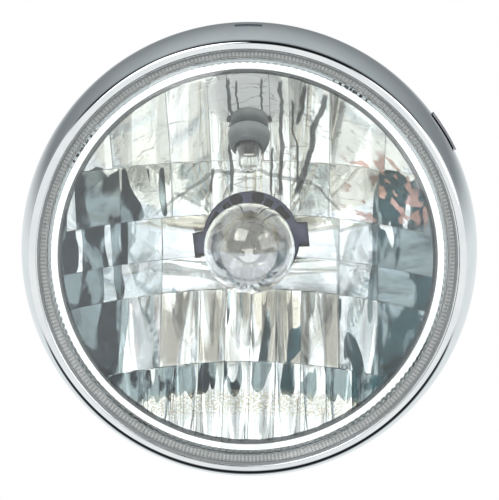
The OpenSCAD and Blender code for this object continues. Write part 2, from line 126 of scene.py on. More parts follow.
def skirt_r(z):
    """Outer radius of the skirt: straight at the rear edge, drawn in by a power curve to the bead."""
    return RIM_R - (RIM_R - BEAD_R) * (z / BEAD_Z) ** TAPER_POWER


def rim_points(steps=720):
    """Closed profile of the sheet, up the outside to the bead and back inside, turned about the axis."""
    height = np.linspace(REAR_ROUND, BEAD_Z, 26)
    outside = np.stack([skirt_r(height), height], axis=-1)
    inside = np.stack([skirt_r(height) - SHEET, height], axis=-1)[:0:-1]
    crest = BEAD_Z + BEAD_TUBE
    shoulder = arc(BEAD_R - SHOULDER_R, crest - SHOULDER_R - SHOULDER_DROP, SHOULDER_R, 6, 80, 22)
    nose = arc(OPENING_R + NOSE_R, crest - NOSE_R, NOSE_R, 88, 180, 12)
    crown = shoulder[-1] + (nose[0] - shoulder[-1]) * np.array([[0.25], [0.5], [0.75]])
    profile = np.concatenate([
        arc(RIM_R - REAR_ROUND, REAR_ROUND, REAR_ROUND, -90, -15, 4),
        outside,
        shoulder,
        crown,
        nose,
        [[OPENING_R, BEAD_Z - BEAD_DROP], [OPENING_R + SHEET, BEAD_Z - BEAD_DROP]],
        arc(BEAD_R - BEAD_TUBE, BEAD_Z, BEAD_TUBE - SHEET, 180, 6, 14),
        inside,
        [[skirt_r(SHEET) - SHEET, SHEET], [RIM_R - HEM, SHEET], [RIM_R - HEM, 0.0]],
    ])
    return lathe(profile, steps), len(profile)


def cut(piece, cutter, operation="DIFFERENCE"):
    """Takes a closed cutter out of the piece, or adds it, applies that and removes the cutter."""
    trim = piece.modifiers.new("cut", "BOOLEAN")
    trim.operation, trim.solver, trim.object = operation, "MANIFOLD", cutter
    bpy.context.view_layer.update()
    done = bpy.data.meshes.new_from_object(piece.evaluated_get(bpy.context.evaluated_depsgraph_get()))
    piece.modifiers.clear()
    old, piece.data = piece.data, done
    bpy.data.meshes.remove(old)
    bpy.data.objects.remove(cutter)


def block(across, up, forward):
    """Closed box cutter between pairs of limits, as a two by two by two grid."""
    x, y, z = np.meshgrid(across, up, forward, indexing="ij")
    faces = [[0, 1, 3, 2], [4, 6, 7, 5], [0, 4, 5, 1], [2, 3, 7, 6], [0, 2, 6, 4], [1, 5, 7, 3]]
    return make_piece("cutter", to_frame(x, y, z).reshape(-1, 3), np.array(faces))


def round_bar(radius, low, high, forward, steps=48):
    """Closed round cutter that stands upright between two heights, forward of the rear edge."""
    turn = np.linspace(0, 2 * np.pi, steps, endpoint=False)[None, :]
    height = np.array([low, low, high, high])[:, None]
    size = np.array([0, radius, radius, 0])[:, None]
    points = to_frame(size * np.cos(turn), height, forward - size * np.sin(turn))
    return make_piece("cutter", points, grid_faces(4, steps, wrap_columns=True))


def place_piece(piece, turn_deg=0.0, tilt_deg=0.0, up=0.0, forward=0.0):
    """Turns a piece's points about the lamp's axis, tips its front downwards, then moves it in mm."""
    count = len(piece.data.vertices)
    spots = np.empty(count * 3)
    piece.data.vertices.foreach_get("co", spots)
    x, depth, z = spots.reshape(-1, 3).T
    t, p = math.radians(turn_deg), math.radians(tilt_deg)
    x, z = x * math.cos(t) - z * math.sin(t), x * math.sin(t) + z * math.cos(t)
    depth, z = depth * math.cos(p) - z * math.sin(p), depth * math.sin(p) + z * math.cos(p)
    moved = np.stack([x, depth, z], -1) + to_frame(0.0, up, forward)
    piece.data.vertices.foreach_set("co", moved.ravel())
    piece.data.update()
    return piece


points, around = rim_points()
rim = make_piece("rim_chrome", points, grid_faces(len(points), around, True, True), crease=28)
cut(rim, block((-SLOT_W / 2, SLOT_W / 2), THROUGH, (SLOT_Z - SLOT_L / 2, SLOT_Z + SLOT_L / 2)))
cut(rim, round_bar(SCREW_HOLE_R, -THROUGH[1], -THROUGH[0], SCREW_Z))
clip_cut = block((-CLIP_HALF_W, CLIP_HALF_W), (CLIP_CUT_R, THROUGH[1]), (-1, SHEET + 0.1))
cut(rim, place_piece(clip_cut, turn_deg=-CLIP_ANGLE))
smooth(rim, 28)


class Field:
    """A socket of a material's node tree, used in plain arithmetic: each operator adds its Math node."""

    def __init__(self, finish, socket):
        self.finish, self.socket = finish, socket

    def maths(self, operation, *values):
        """One Math node on these values."""
        return self.finish.add("ShaderNodeMath", {"operation": operation}, dict(enumerate(values)))

    def __add__(self, other):
        return self.maths("ADD", self, other)

    def __sub__(self, other):
        return self.maths("SUBTRACT", self, other)

    def __rsub__(self, other):
        return self.maths("SUBTRACT", other, self)

    def __mul__(self, other):
        return self.maths("MULTIPLY", self, other)

    def __truediv__(self, other):
        return self.maths("DIVIDE", self, other)

    def __pow__(self, other):
        return self.maths("POWER", self, other)

    __radd__, __rmul__ = __add__, __mul__

    def size(self):
        """The value without its sign."""
        return self.maths("ABSOLUTE", self)

    def sine(self):
        return self.maths("SINE", self)

    def held(self):
        """The value kept between 0 and 1."""
        return self.maths("MAXIMUM", self.maths("MINIMUM", self, 1.0), 0.0)

    def past(self, limit):
        """How far the value is over a limit, and 0 under it."""
        return self.maths("MAXIMUM", self - limit, 0.0)

    def angle_to(self, other):
        """Angle in radians of the point with this value across and the other one up, from upright."""
        return self.maths("ARCTAN2", self, other)

    def ramp(self, low, high):
        """Smooth rise from 0 at low to 1 at high; low may be the larger."""
        if low > high:
            return 1.0 - self.ramp(high, low)
        settings = {"interpolation_type": "SMOOTHSTEP"}
        values = {"Value": self, "From Min": low, "From Max": high}
        return self.finish.add("ShaderNodeMapRange", settings, values)


class Finish:
    """One material, or the world: a node tree with a single surface shader."""

    def __init__(self, name, owner=None):
        self.owner = owner or bpy.data.materials.new(name)
        self.owner.use_nodes = True
        self.tree = self.owner.node_tree
        self.tree.nodes.clear()
        kind = "ShaderNodeOutputMaterial" if owner is None else "ShaderNodeOutputWorld"
        self.out = self.tree.nodes.new(kind)

    def add(self, kind, settings=None, values=None, output=0):
        """Adds a node, makes its settings, fills or links its inputs, and returns one of its outputs."""
        node = self.tree.nodes.new(kind)
        for key, value in (settings or {}).items():
            setattr(node, key, value)
        for key, value in (values or {}).items():
            socket = node.inputs[key]
            if isinstance(value, Field):
                self.tree.links.new(value.socket, socket)
            else:
                socket.default_value = value
        return Field(self, node.outputs[output])

    def spot(self):
        """The object's own coordinates in metres, as a vector."""
        return self.add("ShaderNodeTexCoord", output="Object")

    def split(self, vector):
        """The three parts of a vector."""
        return [self.add("ShaderNodeSeparateXYZ", values={0: vector}, output=k) for k in range(3)]

    def place(self):
        """The object's own coordinates in metres: across, depth and up."""
        return self.split(self.spot())

    def noise(self, scale, detail=2.0, rough=0.5):
        """Clouds from 0 to 1 in the object's own coordinates."""
        values = {"Vector": self.spot(), "Scale": scale, "Detail": detail, "Roughness": rough}
        return self.add("ShaderNodeTexNoise", values=values)

    def ray(self, name):
        """1 for the rays of one kind, 0 for all others."""
        return self.add("ShaderNodeLightPath", output=name)

    def mix(self, factor, first, second):
        """Colour between two colours."""
        values = {0: factor, 6: first, 7: second}
        return self.add("ShaderNodeMix", {"data_type": "RGBA"}, values, output=2)

    def bump(self, height, distance, strength):
        """Normal bent by a height, with the distance in metres."""
        values = {"Height": height, "Distance": distance, "Strength": strength}
        return self.add("ShaderNodeBump", values=values)

    def coat(self, **sockets):
        """Fills a Principled shader by socket names, with underscores for spaces, and shows it."""
        values = {key.replace("_", " "): value for key, value in sockets.items()}
        self.show(self.add("ShaderNodeBsdfPrincipled", values=values))
        return self

    def show(self, shader):
        """Joins a shader to the material's surface."""
        self.tree.links.new(shader.socket, self.out.inputs["Surface"])

    def on(self, *pieces):
        """Puts this material alone on each piece."""
        for piece in pieces:
            piece.data.materials.clear()
            piece.data.materials.append(self.owner)
        return self


def colour(red, green, blue):
    """Display colour in 0 to 255 as the linear colour that a shader takes."""
    level = np.array([red, green, blue]) / 255.0
    linear = np.where(level <= 0.04045, level / 12.92, ((level + 0.055) / 1.055) ** 2.4)
    return (*linear.tolist(), 1.0)


chrome = Finish("bright_chrome")
mottle = chrome.noise(90, 3)
chrome.coat(
    Base_Color=chrome.mix(mottle.ramp(0.35, 0.7), colour(226, 231, 233), colour(234, 237, 238)),
    Metallic=1.0,
    Roughness=0.035 + 0.03 * mottle.ramp(0.45, 0.75),
    Normal=chrome.bump(chrome.noise(260, 2), 0.00001, 0.25),
).on(rim)
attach(rim, "root")
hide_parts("rim")


# Lens
# Clear pressed glass: a shallow dome inside a slanted band that is ribbed on its inner face, and a flat
# edge behind the rim's bead, with a foot that is glued into the reflector's channel.

LENS_T = 3.0
DOME_R = 74.0
DOME_RISE = 10.5
EDGE_TOP = BEAD_Z - BEAD_DROP - 0.4
EDGE_Z = EDGE_TOP - LENS_T
BAND_H = 3.6
LENS_R = 80.6
EDGE_ROUND = 0.3
FOOT_R0, FOOT_R1, FOOT_Z = 75.8, 78.1, EDGE_Z - 2.8
BAND_RIBS = 180
RIB_DEPTH = 0.35
SPHERE_R = (DOME_R**2 + DOME_RISE**2) / (2 * DOME_RISE)
SPHERE_Z = EDGE_TOP + BAND_H + DOME_RISE - SPHERE_R


def dome_height(radius, r):
    """Height of a sphere about the dome's centre, over a point r from the axis."""
    return SPHERE_Z + np.sqrt(radius**2 - r**2)


def lens_points(steps=BAND_RIBS * 5):
    """Lens profile turned about the axis, with ribs that wave the inner face of the band in and out."""
    out_r = np.linspace(DOME_R, 0, 22)
    in_r = np.linspace(0, DOME_R - 0.6, 20)
    outer = np.stack([out_r, dome_height(SPHERE_R, out_r)], -1)
    inner = np.stack([in_r, dome_height(SPHERE_R - LENS_T, in_r)], -1)
    band_low = np.array([FOOT_R0, EDGE_Z + 0.4])
    band_high = np.array([DOME_R, dome_height(SPHERE_R - LENS_T, DOME_R)])
    band = band_high + (band_low - band_high) * np.linspace(0.05, 1, 8)[:, None]
    edge = [
        [FOOT_R0, FOOT_Z],
        [FOOT_R1, FOOT_Z],
        [FOOT_R1, EDGE_Z],
        [LENS_R - EDGE_ROUND, EDGE_Z],
        [LENS_R, EDGE_Z + EDGE_ROUND],
        [LENS_R, EDGE_TOP - EDGE_ROUND],
        [LENS_R - EDGE_ROUND, EDGE_TOP],
        [OPENING_R, EDGE_TOP],
    ]
    slope = [[OPENING_R - 0.25, EDGE_TOP + 0.2], [DOME_R + 0.4, EDGE_TOP + BAND_H - 0.25]]
    profile = np.concatenate([inner, band, edge, slope, outer])
    grid = lathe(profile, steps)
    turn = np.linspace(0, 2 * np.pi, steps, endpoint=False)[:, None]
    wave = np.abs(np.sin(turn * BAND_RIBS / 2))
    share = np.zeros(len(profile))
    share[len(inner) + 1:len(inner) + 7] = [0.6, 1, 1, 1, 1, 0.6]
    grid[..., 1] -= RIB_DEPTH * MM * wave * share
    return grid, len(profile)


points, around = lens_points()
lens = make_piece("lens_glass", points, grid_faces(len(points), around, wrap_rows=True), crease=40)

clear = Finish("lens_glass")
clear.coat(
    Base_Color=(0.985, 0.995, 0.99, 1.0),
    Roughness=0.0,
    IOR=1.5,
    Transmission_Weight=1.0,
).on(lens)
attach(lens, "root")
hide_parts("lens")


# Reflector
# Moulded bowl, coated with aluminium inside, that holds the lens's foot in the channel round its lip. It is
# parted into facets that each spread the light their own way: tall panels above the bulb, plain cheeks
# beside it and upright flutes below.

FOCAL = 24.0
APERTURE_R = 71.5
BOWL_WALL = 2.4
LIP_Z = EDGE_Z + 1.6
VERTEX_Z = LIP_Z - APERTURE_R**2 / (4 * FOCAL)
NECK_BORE_R = 19.4
NECK_R = NECK_BORE_R + 6.2
HOLE_Z = VERTEX_Z + NECK_BORE_R**2 / (4 * FOCAL)
NECK_BACK = HOLE_Z - 12.0
CHANNEL_Z = FOOT_Z - 1.0
CHANNEL_R1 = LENS_R - 1.6
FLANGE_BACK = CHANNEL_Z - 1.8
LUG_R = NECK_BORE_R + 3.2
NOTCH_W = 10.0
HOLDER_TURN = 6.0
PARK_Y = 50.5
PARK_BORE_R = 6.7
PARK_RECESS_R = 8.8

# Borders of the facet rows from below, and in each row the borders of its columns from the middle
ROWS = (-80, -46, -20, -7, 9.8, 32.5, 80)
COLUMNS = (
    (0, 10, 20, 30, 40, 50, 60, 80),
    (0, 10, 20, 35, 50, 80),
    (-35, 35, 50, 80),
    (-35, 35, 50, 80),
    (-8, 8, 15.5, 31, 50, 80),
    (-8, 8, 15.5, 31, 52, 80),
)
# Half the width of the step between two facets
EDGE_GAP = 0.13
# Crown across and along each row's facets, in mm at their middle
CROWN_ACROSS = (0.9, 0.9, 0.45, 0.45, 0.5, 0.4)
CROWN_ALONG = (0.0, 0.5, 0.3, 0.3, 0.5, 0.5)


def bowl_z(r_squared):
    """Height of the plain paraboloid over a point at this squared distance from the axis."""
    return VERTEX_Z + r_squared / (4 * FOCAL)


def facet_lift(x, y):
    """Height of the facets over the paraboloid, each crowned by two parabolas."""
    lift = np.zeros(np.broadcast(x, y).shape)
    for row, columns in enumerate(COLUMNS):
        low, high = ROWS[row], ROWS[row + 1]
        along = (2 * y - low - high) / (high - low)
        for left, right in zip(columns[:-1], columns[1:]):
            inside = (y >= low) & (y < high) & (np.abs(x) >= left) & (np.abs(x) < right)
            across = (2 * np.abs(x) - left - right) / (right - left)
            bow = CROWN_ACROSS[row] * (1 - across**2) + CROWN_ALONG[row] * (1 - along**2)
            lift = np.where(inside, bow, lift)
    return lift


def grid_lines(borders, step=0.9):
    """Even grid lines over the aperture, with a close pair of lines about each border for its step."""
    limit = APERTURE_R - 0.05
    marks = np.array(sorted(b for b in borders if abs(b) < limit))
    even = np.arange(-limit, limit + step, step)
    apart = np.abs(even[:, None] - marks[None, :]).min(axis=1) > 0.3
    even = even[apart & (even < limit)]
    return np.unique(np.concatenate([even, marks - EDGE_GAP, marks + EDGE_GAP, [limit]]))


def bowl_sheet():
    """Facet surface on a grid of straight lines, whose columns end on the aperture circle."""
    x = grid_lines({border * side for row in COLUMNS for border in row for side in (-1, 1)})
    # Closer lines at the far left and right, where the circle turns upright
    bend = APERTURE_R * np.sin(np.radians(np.linspace(-89.6, 89.6, 150)))
    x = np.unique(np.concatenate([x, bend[np.abs(bend) > 60]]))
    y = grid_lines(ROWS)
    end = np.sqrt(APERTURE_R**2 - x**2)[:, None]
    up = np.clip(y[None, :], -end, end)
    across = np.broadcast_to(x[:, None], up.shape)
    return to_frame(across, up, bowl_z(across**2 + up**2) + facet_lift(across, up))


def bowl_filling():
    """Closed solid that fills the bowl: the facet sheet, a wall from its outline and a fan in front."""
    sheet = bowl_sheet()
    rows, columns = sheet.shape[:2]
    index = np.arange(rows * columns).reshape(rows, columns)
    outline = np.concatenate([index[:-1, 0], index[-1, :-1], index[:0:-1, -1], index[0, :0:-1]])
    wall = sheet.reshape(-1, 3)[outline].copy()
    wall[:, 1] = -(LIP_Z + 12) * MM
    tip = to_frame(0, 0, LIP_Z + 40)[None, :]
    base, count = rows * columns, len(outline)
    step = np.roll(np.arange(count), -1)
    sides = np.stack([outline, outline[step], base + step, base + np.arange(count)], -1)
    fan = np.stack([base + np.arange(count), base + step, np.full(count, base + count)], -1)
    points = np.concatenate([sheet.reshape(-1, 3), wall, tip])
    return make_piece("cutter", points, grid_faces(rows, columns), sides, fan)


def lathed_bar(profile, steps=96):
    """Closed solid of an open profile that starts and ends on the lamp's axis."""
    points = lathe(profile, steps)
    return make_piece("cutter", points, grid_faces(steps, len(profile), wrap_rows=True))


def back_point(r):
    """Point of the back surface, one wall away from the paraboloid along its normal."""
    tilt = np.arctan(r / (2 * FOCAL))
    return np.stack([r + BOWL_WALL * np.sin(tilt), bowl_z(r**2) - BOWL_WALL * np.cos(tilt)], -1)


PARK_TILT = math.degrees(math.atan(PARK_Y / (2 * FOCAL)))
PARK_PLACE = dict(tilt_deg=PARK_TILT, up=PARK_Y, forward=bowl_z(PARK_Y**2))

back = back_point(np.linspace(NECK_R - 1, 65.5, 30))
foot_of_wall = [math.sqrt(4 * FOCAL * (FLANGE_BACK - VERTEX_Z)) + BOWL_WALL, FLANGE_BACK]
flange = [
    foot_of_wall,
    [LENS_R, FLANGE_BACK],
    [LENS_R, EDGE_Z - 0.1],
    [CHANNEL_R1, EDGE_Z - 0.1],
    [CHANNEL_R1, CHANNEL_Z],
    [APERTURE_R + BOWL_WALL, CHANNEL_Z],
    [APERTURE_R + BOWL_WALL, LIP_Z],
    [0, LIP_Z],
]
bowl_profile = np.concatenate([[[0, NECK_BACK], [NECK_R, NECK_BACK]], back, flange])
points = lathe(bowl_profile, 360)
reflector = make_piece("reflector_bowl", points, grid_faces(360, len(bowl_profile), wrap_rows=True))
boss = [[0, -3.4], [10, -3.4], [10, 2], [0, 2]]
cut(reflector, place_piece(lathed_bar(boss), **PARK_PLACE), "UNION")
cut(reflector, bowl_filling())
neck_bore = [[0, NECK_BACK - 1], [NECK_BORE_R, NECK_BACK - 1], [NECK_BORE_R, 10], [0, 10]]
cut(reflector, lathed_bar(neck_bore, 192))
notch = block((-LUG_R - 0.4, LUG_R + 0.4), (-NOTCH_W / 2, NOTCH_W / 2), (HOLE_Z - 4.6, HOLE_Z + 20))
cut(reflector, place_piece(notch, turn_deg=HOLDER_TURN))
park_bore = [
    [0, -20],
    [PARK_BORE_R, -20],
    [PARK_BORE_R, 0],
    [PARK_RECESS_R, 0],
    [PARK_RECESS_R, 14],
    [0, 14],
]
cut(reflector, place_piece(lathed_bar(park_bore), **PARK_PLACE))
smooth(reflector, 14)


def mark_faces(piece, name, test):
    """Stores on each face the value of a test at its middle, given across, up and forward in mm."""
    count = len(piece.data.polygons)
    middle = np.empty(count * 3)
    piece.data.polygons.foreach_get("center", middle)
    x, depth, z = middle.reshape(-1, 3).T / MM
    layer = piece.data.attributes.new(name, "FLOAT", "FACE")
    layer.data.foreach_set("value", test(x, z, -depth).astype(np.float32))


def is_front(x, up, forward):
    """Whether a face is on the coated front of the bowl, its lip or its channel."""
    front = np.minimum(bowl_z(x**2 + up**2) - 0.6, FLANGE_BACK + 0.5)
    return (forward > front) & (forward > HOLE_Z - 0.3)


def facet_mark(x, up, forward):
    """A different number from 0 to 1 for each facet, which shifts the pattern of its streaks."""
    row = np.searchsorted(ROWS, up)
    column = np.zeros(x.shape)
    for number, columns in enumerate(COLUMNS, 1):
        place = np.searchsorted([border for border in columns if border > 0], np.abs(x))
        column = np.where(row == number, place, column)
    return np.abs(np.sin(row * 12.99 + column * np.where(x < 0, -78.2, 61.7))) * 43.7 % 1.0


def facet_edge(x, up, forward):
    """Whether a face is in the narrow step between two facets."""
    near = np.abs(up[:, None] - np.array(ROWS)[None, :]).min(axis=1) < EDGE_GAP
    row = np.searchsorted(ROWS, up)
    for number, columns in enumerate(COLUMNS, 1):
        beside = np.abs(np.abs(x)[:, None] - np.array(columns)[None, :]).min(axis=1) < EDGE_GAP
        near |= (row == number) & beside
    return near & (forward < LIP_Z - 0.1)


mark_faces(reflector, "coated", is_front)
mark_faces(reflector, "facet", facet_mark)
mark_faces(reflector, "edge", facet_edge)
mirror = Finish("aluminised_bowl")


def face_mark(name):
    """Value stored on the faces under this name."""
    return mirror.add("ShaderNodeAttribute", {"attribute_name": name}, output=2)


coated = face_mark("coated")
facet = face_mark("facet")
edge = face_mark("edge")
haze = mirror.noise(45, 3)
grain = mirror.noise(700, 2)
across, _, up = mirror.place()
spot = mirror.spot()


def streaks(width, height, shift, detail=2.0):
    """Noise of a width and a height in metres, shifted from facet to facet so that it breaks there."""
    stretch = (1 / width, 1 / height, 1 / height)
    drawn = mirror.add("ShaderNodeVectorMath", {"operation": "MULTIPLY"}, {0: spot, 1: stretch})
    values = {
        "Vector": drawn,
        "W": facet * 30.0 + shift,
        "Scale": 1.0,
        "Detail": detail,
        "Distortion": 0.6,
    }
    return mirror.add("ShaderNodeTexNoise", {"noise_dimensions": "4D"}, values)


sway = (mirror.noise(55, 3) - 0.5) * 0.006


def stroke(at, lean, low, high, width):
    """Thin upright dark line: where it crosses the axis, its slope, its ends and half its width."""
    off = (across + sway - lean * up - at).size()
    return off.ramp(width, width * 0.5) * up.ramp(low - 0.002, low) * up.ramp(high + 0.002, high)


# Painted reflections: thin dark lines above the bulb, as if mirrored there
strokes = (
    stroke(-0.0073, 0.0, 0.020, 0.067, 0.0009)
    + stroke(0.0086, 0.0, 0.020, 0.037, 0.0007)
    + stroke(0.0126, 0.0, 0.019, 0.066, 0.0010)
    + stroke(0.0208, -0.07, 0.020, 0.058, 0.0005)
    + stroke(0.0142, 0.24, 0.020, 0.061, 0.0014)
    + stroke(0.0130, 0.13, 0.050, 0.064, 0.0010)
    + stroke(-0.0042, 0.0, 0.054, 0.066, 0.0005)
    + stroke(0.0040, 0.02, 0.055, 0.067, 0.0005)
    + stroke(-0.0160, 0.03, 0.020, 0.028, 0.0006)
)
# Painted reflection: a grey arch over the bulb that falls away on both sides
bend = across.size().past(0.013)
arch = (up + 2.0 * sway + 0.35 * bend + 14.0 * bend**2.0 - 0.0278).size()
strokes = strokes + 0.55 * arch.ramp(0.0010, 0.0006) * across.size().ramp(0.040, 0.032)
# Painted reflections: fine threads, nearly level, in the upper half
reflected_threads = (streaks(0.034, 0.009, 21.0, 3.0) - 0.5).size().ramp(0.008, 0.004)
reflected_threads = reflected_threads * 0.45 * up.ramp(0.006, 0.014)

# Painted reflections of dark surroundings in dark fields, whose share is more outwards and at the top of the
# lowest flutes, less on the cheeks, above the bulb and at the very bottom
outward = (across / (APERTURE_R * MM)).size()
cheek = up.ramp(-0.022, -0.018) * up.ramp(0.012, 0.008) * outward.ramp(0.68, 0.62)
flute_top = up.ramp(-0.059, -0.053) * up.ramp(-0.0455, -0.0465)
share = 0.08 + 0.52 * outward**1.6 * up.ramp(0.038, 0.030) + 0.45 * flute_top - 0.3 * cheek
share = share + 0.36 * outward.ramp(0.62, 0.72) * up.ramp(0.036, 0.026)
share = share - 0.25 * up.ramp(-0.056, -0.062)
share = share - 0.34 * up.ramp(0.030, 0.036)
share = share - 0.3 * up.ramp(0.006, 0.010) * outward.ramp(0.66, 0.56)
shade = (streaks(0.0075, 0.045, 0.0, 1.0) + 0.36 * share).ramp(0.660, 0.672)
deep = mirror.mix(across.ramp(-0.01, 0.03), colour(44, 55, 61), colour(40, 74, 80))
slate = streaks(0.010, 0.028, 7.0, 4.0).ramp(0.45, 0.52)
slate = mirror.mix(slate, deep, colour(150, 164, 166))

# Painted reflections on the bright fields: soft cool grey, and warmer in the middle of the flutes
middle = up.ramp(-0.016, -0.022) * up.ramp(-0.050, -0.044) * outward.ramp(0.60, 0.45)
soft = streaks(0.02, 0.05, 13.0).ramp(0.50, 0.68) * 0.7 * up.ramp(0.036, 0.026)
soft = (soft + middle * streaks(0.008, 0.06, 17.0).ramp(0.38, 0.52)).held()
soft_tone = mirror.mix(middle, colour(205, 210, 208), colour(168, 165, 156))
silver = mirror.mix(soft, colour(252, 254, 254), soft_tone)

# Painted reflections: pale grain at the bottom and a reddish blush at the upper right; painted shade: a dark
# ring round the aperture
radius = (across * across + up * up) ** 0.5 / MM
ring = (radius - (APERTURE_R - 0.3)).size().ramp(0.95, 0.75) * 1.05
inside = radius.ramp(APERTURE_R, APERTURE_R - 0.3)
reflected_grain = mirror.noise(1100, 2).ramp(0.42, 0.58) * up.ramp(-0.064, -0.061)
reflected_grain = reflected_grain * up.ramp(-0.054, -0.057) * 0.75
warm = across.ramp(0.034, 0.040) * up.ramp(0.008, 0.012) * up.ramp(0.042, 0.036)
reflected_blush = streaks(0.030, 0.008, 31.0, 3.0).ramp(0.53, 0.56) * warm
# Painted shade in the narrow steps between facets, laid over the coating's tone with the painted lines and
# the dark ring
lines = ((strokes + reflected_threads + edge * 0.7) * inside + ring).held()
tone = mirror.mix(shade * inside, silver, slate)
tone = mirror.mix(reflected_grain * inside, tone, colour(206, 198, 176))
tone = mirror.mix(reflected_blush * inside * 0.85, tone, colour(190, 152, 142))
tone = mirror.mix(lines * 0.92, tone, colour(52, 58, 62))
# The coating is milky where the parking lamp's holder passes through it
milky = (across / 0.016) ** 2.0 + ((up - 0.060) / 0.0125) ** 2.0
milky = milky.ramp(1.4, 0.5) * coated
mirror.coat(
    Base_Color=mirror.mix(coated, colour(92, 94, 98), tone),
    Metallic=coated - 0.8 * milky,
    Roughness=0.5 - 0.475 * coated + 0.25 * milky + 0.02 * haze.ramp(0.5, 0.8) * coated,
    Normal=mirror.bump(grain, 0.00002, 0.1),
).on(reflector)
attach(reflector, "root")
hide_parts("reflector")


# Gasket, adhesive and springs
# A soft grey ring under the bead, the adhesive that holds the lens in the bowl's channel, sprung strips
# that press the bowl towards the rim, a rubber boot, and plated and brass small parts. They keep their
# CAD shapes, as little of them shows.

node = frame["nodes"]

rubber = Finish("black_rubber")
rubber.coat(
    Base_Color=rubber.mix(rubber.noise(60, 3).ramp(0.3, 0.8), colour(28, 28, 29), colour(44, 44, 45)),
    Roughness=0.62 + 0.12 * rubber.noise(200),
    Normal=rubber.bump(rubber.noise(900, 2), 0.00004, 0.4),
).on(node["dust_boot"])

silicone = Finish("grey_silicone")
silicone.coat(
    Base_Color=silicone.mix(silicone.noise(80), colour(128, 131, 133), colour(146, 149, 151)),
    Roughness=0.5,
).on(node["rim_gasket"])

sealant = Finish("adhesive")
across, _, up = sealant.place()
# Painted highlights: white teeth that stand for the glints of the ribs seen through the glass; and the
# silvered inner part
painted_rib_glints = (across.angle_to(up) * 340.0).sine().ramp(-0.3, 0.3)
silvered = ((across * across + up * up) ** 0.5 / MM).ramp(76.0, 75.6)
sealant.coat(
    Base_Color=sealant.mix((painted_rib_glints + silvered).held(), colour(206, 209, 210), colour(250, 252, 252)),
    Metallic=silvered,
    Roughness=0.5 - 0.4 * silvered,
    Normal=sealant.bump(sealant.noise(150, 3), 0.0001, 0.5),
).on(node["lens_sealant"])


def plated(name, low, high, rough):
    """Plated sheet metal: two close colours in clouds, and fine scratches in its gloss."""
    finish = Finish(name)
    clouds = finish.noise(70, 3)
    scratch = finish.noise(500, 4, 0.7)
    return finish.coat(
        Base_Color=finish.mix(clouds.ramp(0.3, 0.7), colour(*low), colour(*high)),
        Metallic=1.0,
        Roughness=rough + 0.15 * scratch,
        Normal=finish.bump(scratch, 0.00001, 0.3),
    )


plated("zinc_spring_strip", (150, 153, 158), (178, 180, 184), 0.28).on(
    node["retaining_clips"], node["side_clip"], node["contact_spring"]
)
nickel = plated("nickel_plate", (196, 194, 188), (214, 212, 206), 0.18)
nickel.on(node["fixing_plate"], node["socket_shell"], node["base_contacts"], node["lead_wires"])
plated("aged_brass", (74, 70, 50), (104, 98, 72), 0.25).on(node["bulb_base"])
plated("stamped_brass", (196, 160, 92), (214, 180, 112), 0.24).on(
    node["terminals"], node["contact_studs"], node["parking_terminals"]
)


# Bulb holder
# Black moulded ring behind the globe, with pockets in its face and a lug each side that stands in a
# notch of the bowl. The contact plate and the end disc of the bulb's base are moulded too.

moulding = Finish("black_moulding")
_, depth, _ = moulding.place()
# Painted shade: all that lies more than 3 mm behind the bore's front edge, such as the pockets, is near
# black, and the face paler
recess_shade = depth.ramp(-(HOLE_Z - 2.9) * MM, -(HOLE_Z - 3.3) * MM)
face_tone = moulding.mix(moulding.noise(40, 3), colour(84, 87, 112), colour(102, 105, 130))
moulding.coat(
    Base_Color=moulding.mix(recess_shade, face_tone, colour(8, 8, 12)),
    Roughness=0.34 + 0.1 * moulding.noise(300),
    Specular_IOR_Level=0.12,
    Normal=moulding.bump(moulding.noise(1200, 2), 0.00002, 0.4),
).on(node["bulb_holder"], node["contact_plate"], node["base_insulator"])


# Main bulb
# Blown clear globe drawn in to a neck, cemented in its metal base, with a glass stem, supply wires,
# two coiled filaments one behind the other, and a bright dip shield under the front one.

GLOBE_R = 17.75
GLOBE_T = 0.9
GLOBE_Z = HOLE_Z + 23.7
NECK_GLASS_R = 9.15
NECK_GLASS_END = HOLE_Z - 8.4
COIL_L, COIL_R, COIL_TURNS = 3.9, 0.6, 9
WIRE_R = 0.14


def bulb_points():
    """Closed profile of the glass, up the outside to the front and back inside, turned about the axis."""
    out_end = math.degrees(math.asin(NECK_GLASS_R / GLOBE_R))
    in_end = math.degrees(math.asin((NECK_GLASS_R - GLOBE_T) / (GLOBE_R - GLOBE_T)))
    profile = np.concatenate([
        [[NECK_GLASS_R, NECK_GLASS_END]],
        arc(0, GLOBE_Z, GLOBE_R, -90 + out_end, 90, 60),
        arc(0, GLOBE_Z, GLOBE_R - GLOBE_T, 90, -90 + in_end, 60),
        [[NECK_GLASS_R - GLOBE_T, NECK_GLASS_END]],
    ])
    return lathe(profile, 160), len(profile)


points, around = bulb_points()
globe = make_piece("bulb_globe", points, grid_faces(160, around, True, True), crease=40)
bulb_glass = Finish("bulb_glass")
bulb_glass.coat(
    Base_Color=(0.99, 0.99, 0.985, 1.0),
    Roughness=0.0,
    IOR=1.47,
    Transmission_Weight=1.0,
).on(node["bulb_stem"])
globe_glass = Finish("globe_glass")
_, _, up = globe_glass.place()
# Painted reflection: the lower half is cool and a little metallic and the upper half warm, as the horizon
# mirrored in the globe
reflected_lower_half = up.ramp(0.0012, 0.0002)
globe_glass.coat(
    Base_Color=globe_glass.mix(reflected_lower_half, (0.96, 0.95, 0.90, 1.0), (0.93, 0.95, 0.985, 1.0)),
    Metallic=0.05 + 0.12 * reflected_lower_half,
    Roughness=0.0,
    IOR=1.5,
    Transmission_Weight=1.0,
).on(globe)
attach(globe, "root")
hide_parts("bulb_glass")


def coil(forward):
    """Wire along a helix about the across direction, at a place forward on the lamp's axis."""
    t = np.linspace(0, 1, COIL_TURNS * 16)[:, None]
    ring = np.linspace(0, 2 * np.pi, 8, endpoint=False)[None, :]
    spin = 2 * np.pi * COIL_TURNS * t
    size = COIL_R + WIRE_R * np.cos(ring)
    across = (t - 0.5) * COIL_L + WIRE_R * np.sin(ring)
    return to_frame(across, size * np.cos(spin), size * np.sin(spin) + forward)


